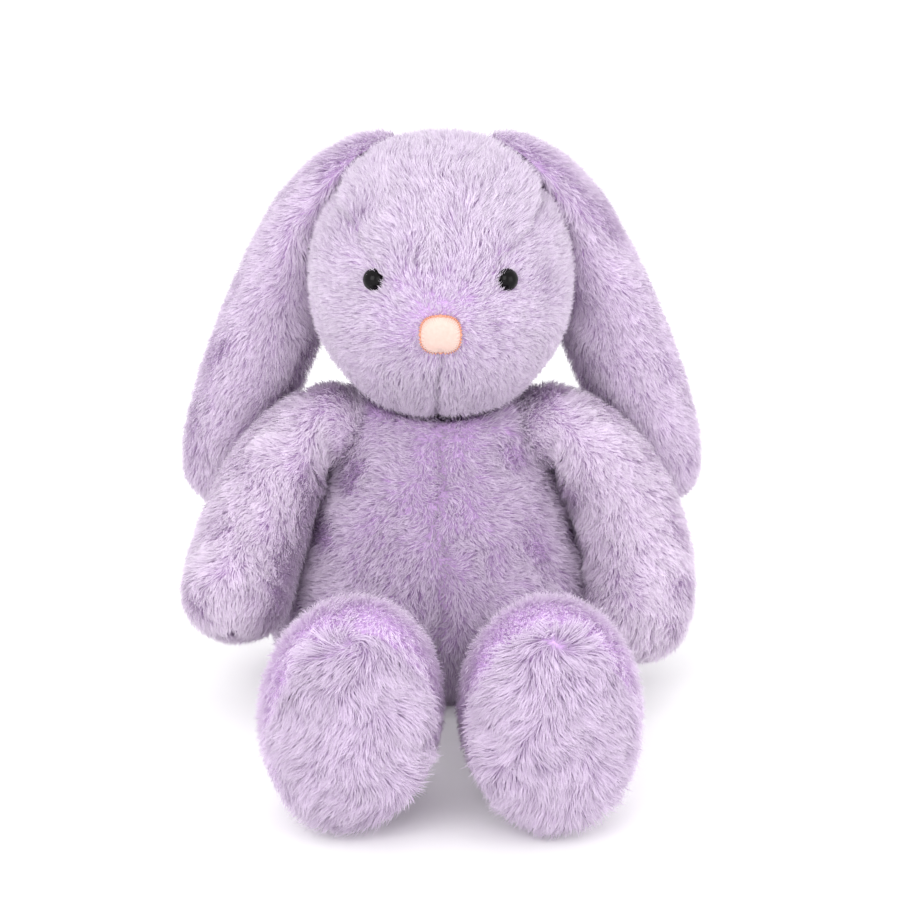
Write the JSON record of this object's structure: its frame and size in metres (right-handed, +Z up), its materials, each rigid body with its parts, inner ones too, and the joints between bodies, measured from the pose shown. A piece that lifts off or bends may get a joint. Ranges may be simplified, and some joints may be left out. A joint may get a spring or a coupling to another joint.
{
  "type": "stuffed bunny rabbit",
  "caption": "Seated plush rabbit in long-pile cloth with drooping ears, safety eyes, a sewn nose and jointed head, ears, arms and legs.",
  "frame": {"origin": "on the floor, under the middle of the toy's bounding box", "axes": "+Z up, -Y the way the rabbit faces, +X towards its own left side"},
  "size_m": [0.2308, 0.2826, 0.2405],
  "materials": {
    "fur": "matt long-pile plush, lavender",
    "nose": "close-woven peach cloth",
    "eye": "polished black",
    "washer": "moulded, plain",
    "fibre": "loose polyester fibre",
    "pellets": "pellets in a thin cloth bag"
  },
  "bodies": {
    "torso": {"torso_front_left": "fur", "torso_front_right": "fur", "torso_back_left": "fur", "torso_back_right": "fur", "torso_stuffing": "fibre", "seat_panel": "fur", "seat_pellet_bag": "pellets", "tail_skin": "fur", "tail_stuffing": "fibre"},
    "neck": {"neck_sleeve": "fur", "neck_stuffing": "fibre"},
    "head": {"head_side_left": "fur", "head_side_right": "fur", "head_gusset": "fur", "head_stuffing": "fibre", "nose": "nose", "eye_left": "eye", "eye_right": "eye", "eye_washer_left": "washer", "eye_washer_right": "washer"},
    "ear_left": {"ear_left_outer": "fur", "ear_left_inner": "fur"},
    "arm_left": {"arm_left_outer": "fur", "arm_left_inner": "fur", "arm_left_stuffing": "fibre"},
    "leg_left": {"leg_left_top": "fur", "leg_left_under": "fur", "leg_left_stuffing": "fibre", "foot_left_sole": "fur", "foot_left_pellet_bag": "pellets"},
    "ear_right": {"ear_right_outer": "fur", "ear_right_inner": "fur"},
    "arm_right": {"arm_right_outer": "fur", "arm_right_inner": "fur", "arm_right_stuffing": "fibre"},
    "leg_right": {"leg_right_top": "fur", "leg_right_under": "fur", "leg_right_stuffing": "fibre", "foot_right_sole": "fur", "foot_right_pellet_bag": "pellets"}
  },
  "joints": [
    {"name": "neck_turn", "type": "hinge", "parent": "torso", "child": "neck", "pos_m": [0, 0.05072, 0.122], "axis": [0, 0, 1], "range_deg": [-4, 4]},
    {"name": "head_nod", "type": "hinge", "parent": "neck", "child": "head", "pos_m": [0, 0.05072, 0.122], "axis": [1, 0, 0], "range_deg": [-4, 8]},
    {"name": "ear_left_lift", "type": "hinge", "parent": "head", "child": "ear_left", "pos_m": [0.024, 0.05272, 0.2375], "axis": [0, -1, 0], "range_deg": [0, 100]},
    {"name": "ear_right_lift", "type": "hinge", "parent": "head", "child": "ear_right", "pos_m": [-0.024, 0.05272, 0.2375], "axis": [0, 1, 0], "range_deg": [0, 100]},
    {"name": "arm_left_swing", "type": "hinge", "parent": "torso", "child": "arm_left", "pos_m": [0.0495, 0.03872, 0.116], "axis": [-1, 0, 0], "range_deg": [0, 100]},
    {"name": "arm_right_swing", "type": "hinge", "parent": "torso", "child": "arm_right", "pos_m": [-0.0495, 0.03872, 0.116], "axis": [-1, 0, 0], "range_deg": [0, 100]},
    {"name": "leg_left_lift", "type": "hinge", "parent": "torso", "child": "leg_left", "pos_m": [0.038, -0.02832, 0.0233], "axis": [-1, 0, 0], "range_deg": [0, 45]},
    {"name": "leg_right_lift", "type": "hinge", "parent": "torso", "child": "leg_right", "pos_m": [-0.038, -0.02832, 0.0233], "axis": [-1, 0, 0], "range_deg": [0, 45]}
  ]
}
